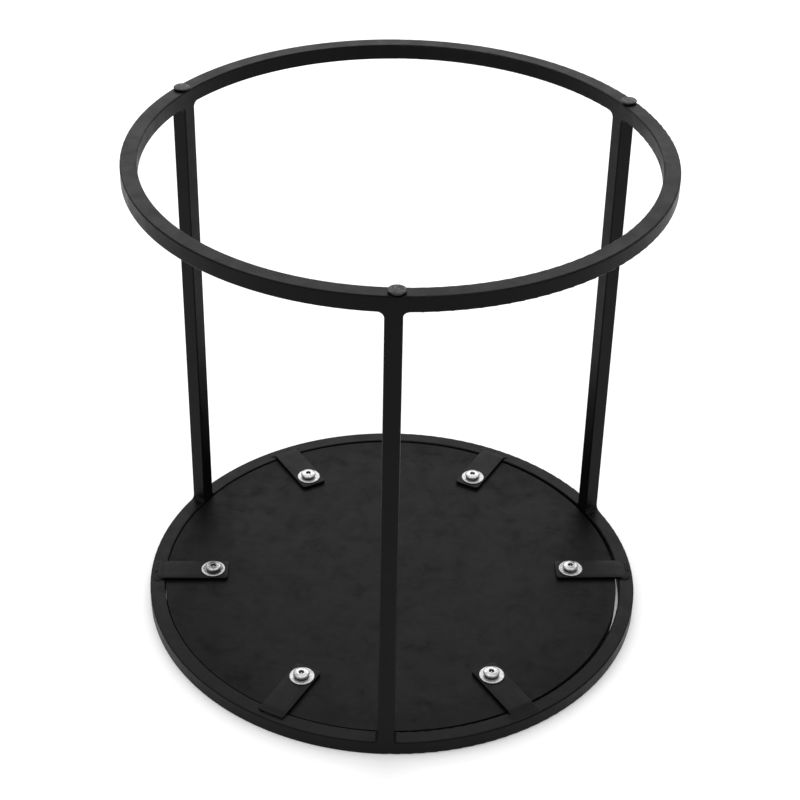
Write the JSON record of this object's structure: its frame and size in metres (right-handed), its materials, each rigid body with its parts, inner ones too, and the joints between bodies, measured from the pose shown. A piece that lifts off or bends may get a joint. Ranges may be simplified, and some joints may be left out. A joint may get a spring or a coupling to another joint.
{
  "type": "side table",
  "caption": "Round side table with a black welded square-tube frame and a screwed-in board, stored upside down on its top with glides uppermost.",
  "frame": {"origin": "centre of the table-top face, which rests on the floor because the table is stored upside down", "axes": "+Z from the table-top face towards the glides, -Y through the front leg; turn the part half a turn about X or Y for use"},
  "size_m": [0.41, 0.4102, 0.412],
  "materials": {
    "frame_black": "satin black powder coat with a fine orange-peel texture",
    "weld_black": "dressed weld under the same satin black powder coat",
    "tab_black": "satin black powder coat on flat steel strip",
    "board_core": "dense fibreboard core with a black-stained edge",
    "board_face": "matt black laminate on the side that is up in use",
    "board_backing": "matt black laminate, lightly smudged and mottled",
    "insert_metal": "plain turned threaded insert",
    "washer_zinc": "bright zinc plate with fine turning marks",
    "spring_steel": "darker zinc plated spring steel",
    "screw_zinc": "bright zinc plate, slightly worn",
    "glide_plastic": "dark grey moulded plastic, faintly mottled"
  },
  "bodies": {
    "root": {"top_ring": "frame_black", "foot_ring": "frame_black", "leg_front": "frame_black", "leg_back_right": "frame_black", "leg_back_left": "frame_black", "top_weld_front": "weld_black", "foot_weld_front": "weld_black", "glide_front": "glide_plastic", "top_weld_back_right": "weld_black", "foot_weld_back_right": "weld_black", "glide_back_right": "glide_plastic", "top_weld_back_left": "weld_black", "foot_weld_back_left": "weld_black", "glide_back_left": "glide_plastic", "board_core": "board_core", "board_face": "board_face", "board_backing": "board_backing", "tab_1": "tab_black", "tab_weld_1": "weld_black", "insert_1": "insert_metal", "washer_1": "washer_zinc", "spring_washer_1": "spring_steel", "screw_1": "screw_zinc", "tab_2": "tab_black", "tab_weld_2": "weld_black", "insert_2": "insert_metal", "washer_2": "washer_zinc", "spring_washer_2": "spring_steel", "screw_2": "screw_zinc", "tab_3": "tab_black", "tab_weld_3": "weld_black", "insert_3": "insert_metal", "washer_3": "washer_zinc", "spring_washer_3": "spring_steel", "screw_3": "screw_zinc", "tab_4": "tab_black", "tab_weld_4": "weld_black", "insert_4": "insert_metal", "washer_4": "washer_zinc", "spring_washer_4": "spring_steel", "screw_4": "screw_zinc", "tab_5": "tab_black", "tab_weld_5": "weld_black", "insert_5": "insert_metal", "washer_5": "washer_zinc", "spring_washer_5": "spring_steel", "screw_5": "screw_zinc", "tab_6": "tab_black", "tab_weld_6": "weld_black", "insert_6": "insert_metal", "washer_6": "washer_zinc", "spring_washer_6": "spring_steel", "screw_6": "screw_zinc"}
  },
  "joints": []
}
